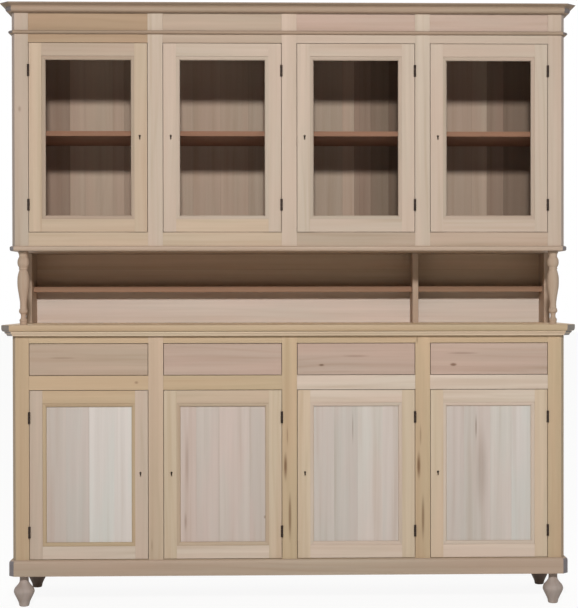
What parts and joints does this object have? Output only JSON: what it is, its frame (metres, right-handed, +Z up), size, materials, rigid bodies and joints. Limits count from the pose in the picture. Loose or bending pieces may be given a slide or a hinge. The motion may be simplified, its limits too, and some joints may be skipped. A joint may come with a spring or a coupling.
{
  "type": "china cabinet",
  "caption": "Tall china cabinet in raw wood: a base with drawers and panelled doors on turned feet, an open niche with balusters, and a glazed hutch under a cornice.",
  "frame": {"origin": "on the floor, below the middle of the whole outline", "axes": "+Z up, +Y towards the back, +X to the right as one faces the doors"},
  "size_m": [2.0826, 0.4625, 2.181],
  "materials": {
    "frame_wood": "raw, sanded",
    "side_wood": "raw, sanded",
    "panel_wood": "raw, pale, sanded",
    "drawer_wood": "raw, sanded",
    "turned_wood": "raw, greyed",
    "inner_wood": "raw, planed",
    "glass": "clear",
    "iron": "dark, dull"
  },
  "bodies": {
    "cabinet": {"baluster_left": "turned_wood", "baluster_right": "turned_wood", "base_back": "inner_wood", "base_floor": "inner_wood", "base_frame": "frame_wood", "base_partition_1": "inner_wood", "base_partition_2": "inner_wood", "base_partition_3": "inner_wood", "base_side_left": "side_wood", "base_side_right": "side_wood", "cornice": "frame_wood", "foot_front_left": "turned_wood", "foot_front_right": "turned_wood", "foot_rear_left": "turned_wood", "foot_rear_right": "turned_wood", "frieze_bead": "frame_wood", "hutch_back": "inner_wood", "hutch_bottom_board": "frame_wood", "hutch_floor": "inner_wood", "hutch_frame": "frame_wood", "hutch_partition_2": "inner_wood", "hutch_partition_3": "inner_wood", "hutch_shelf": "inner_wood", "hutch_side_left": "side_wood", "hutch_side_right": "side_wood", "niche_shelf": "side_wood", "plinth_moulding": "frame_wood", "worktop": "frame_wood"},
    "lower_door_1": {"lower_door_1_frame": "frame_wood", "lower_door_1_panel": "panel_wood"},
    "lower_door_1_lock": {"lower_door_1_bolt": "iron"},
    "upper_door_1": {"upper_door_1_frame": "frame_wood", "upper_door_1_glass": "glass"},
    "upper_door_1_lock": {"upper_door_1_bolt": "iron"},
    "drawer_1": {"drawer_1_front": "drawer_wood", "drawer_1_box": "inner_wood"},
    "lower_door_2": {"lower_door_2_frame": "frame_wood", "lower_door_2_panel": "panel_wood"},
    "lower_door_2_lock": {"lower_door_2_bolt": "iron"},
    "upper_door_2": {"upper_door_2_frame": "frame_wood", "upper_door_2_glass": "glass"},
    "upper_door_2_lock": {"upper_door_2_bolt": "iron"},
    "drawer_2": {"drawer_2_front": "drawer_wood", "drawer_2_box": "inner_wood"},
    "lower_door_3": {"lower_door_3_frame": "frame_wood", "lower_door_3_panel": "panel_wood"},
    "lower_door_3_lock": {"lower_door_3_bolt": "iron"},
    "upper_door_3": {"upper_door_3_frame": "frame_wood", "upper_door_3_glass": "glass"},
    "upper_door_3_lock": {"upper_door_3_bolt": "iron"},
    "drawer_3": {"drawer_3_front": "drawer_wood", "drawer_3_box": "inner_wood"},
    "lower_door_4": {"lower_door_4_frame": "frame_wood", "lower_door_4_panel": "panel_wood"},
    "lower_door_4_lock": {"lower_door_4_bolt": "iron"},
    "upper_door_4": {"upper_door_4_frame": "frame_wood", "upper_door_4_glass": "glass"},
    "upper_door_4_lock": {"upper_door_4_bolt": "iron"},
    "drawer_4": {"drawer_4_front": "drawer_wood", "drawer_4_box": "inner_wood"}
  },
  "joints": [
    {"name": "lower_door_1_hinge", "type": "hinge", "parent": "cabinet", "child": "lower_door_1", "pos_m": [-0.94, -0.19465, 0.48], "axis": [0, 0, -1], "range_deg": [0, 100]},
    {"name": "lower_door_1_bolt_slide", "type": "slide", "parent": "lower_door_1", "child": "lower_door_1_lock", "axis": [1, 0, 0], "range_m": [0, 0.012]},
    {"name": "upper_door_1_hinge", "type": "hinge", "parent": "cabinet", "child": "upper_door_1", "pos_m": [-0.94, -0.19465, 1.6995], "axis": [0, 0, -1], "range_deg": [0, 100]},
    {"name": "upper_door_1_bolt_slide", "type": "slide", "parent": "upper_door_1", "child": "upper_door_1_lock", "axis": [1, 0, 0], "range_m": [0, 0.012]},
    {"name": "drawer_1_slide", "type": "slide", "parent": "cabinet", "child": "drawer_1", "axis": [0, -1, 0], "range_m": [0, 0.28]},
    {"name": "lower_door_2_hinge", "type": "hinge", "parent": "cabinet", "child": "lower_door_2", "pos_m": [-0.028, -0.19465, 0.48], "axis": [0, 0, 1], "range_deg": [0, 100]},
    {"name": "lower_door_2_bolt_slide", "type": "slide", "parent": "lower_door_2", "child": "lower_door_2_lock", "axis": [-1, 0, 0], "range_m": [0, 0.012]},
    {"name": "upper_door_2_hinge", "type": "hinge", "parent": "cabinet", "child": "upper_door_2", "pos_m": [-0.028, -0.19465, 1.6995], "axis": [0, 0, 1], "range_deg": [0, 100]},
    {"name": "upper_door_2_bolt_slide", "type": "slide", "parent": "upper_door_2", "child": "upper_door_2_lock", "axis": [-1, 0, 0], "range_m": [0, 0.012]},
    {"name": "drawer_2_slide", "type": "slide", "parent": "cabinet", "child": "drawer_2", "axis": [0, -1, 0], "range_m": [0, 0.28]},
    {"name": "lower_door_3_hinge", "type": "hinge", "parent": "cabinet", "child": "lower_door_3", "pos_m": [0.456, -0.19465, 0.48], "axis": [0, 0, 1], "range_deg": [0, 100]},
    {"name": "lower_door_3_bolt_slide", "type": "slide", "parent": "lower_door_3", "child": "lower_door_3_lock", "axis": [-1, 0, 0], "range_m": [0, 0.012]},
    {"name": "upper_door_3_hinge", "type": "hinge", "parent": "cabinet", "child": "upper_door_3", "pos_m": [0.456, -0.19465, 1.6995], "axis": [0, 0, 1], "range_deg": [0, 100]},
    {"name": "upper_door_3_bolt_slide", "type": "slide", "parent": "upper_door_3", "child": "upper_door_3_lock", "axis": [-1, 0, 0], "range_m": [0, 0.012]},
    {"name": "drawer_3_slide", "type": "slide", "parent": "cabinet", "child": "drawer_3", "axis": [0, -1, 0], "range_m": [0, 0.28]},
    {"name": "lower_door_4_hinge", "type": "hinge", "parent": "cabinet", "child": "lower_door_4", "pos_m": [0.94, -0.19465, 0.48], "axis": [0, 0, 1], "range_deg": [0, 100]},
    {"name": "lower_door_4_bolt_slide", "type": "slide", "parent": "lower_door_4", "child": "lower_door_4_lock", "axis": [-1, 0, 0], "range_m": [0, 0.012]},
    {"name": "upper_door_4_hinge", "type": "hinge", "parent": "cabinet", "child": "upper_door_4", "pos_m": [0.94, -0.19465, 1.6995], "axis": [0, 0, 1], "range_deg": [0, 100]},
    {"name": "upper_door_4_bolt_slide", "type": "slide", "parent": "upper_door_4", "child": "upper_door_4_lock", "axis": [-1, 0, 0], "range_m": [0, 0.012]},
    {"name": "drawer_4_slide", "type": "slide", "parent": "cabinet", "child": "drawer_4", "axis": [0, -1, 0], "range_m": [0, 0.28]}
  ]
}
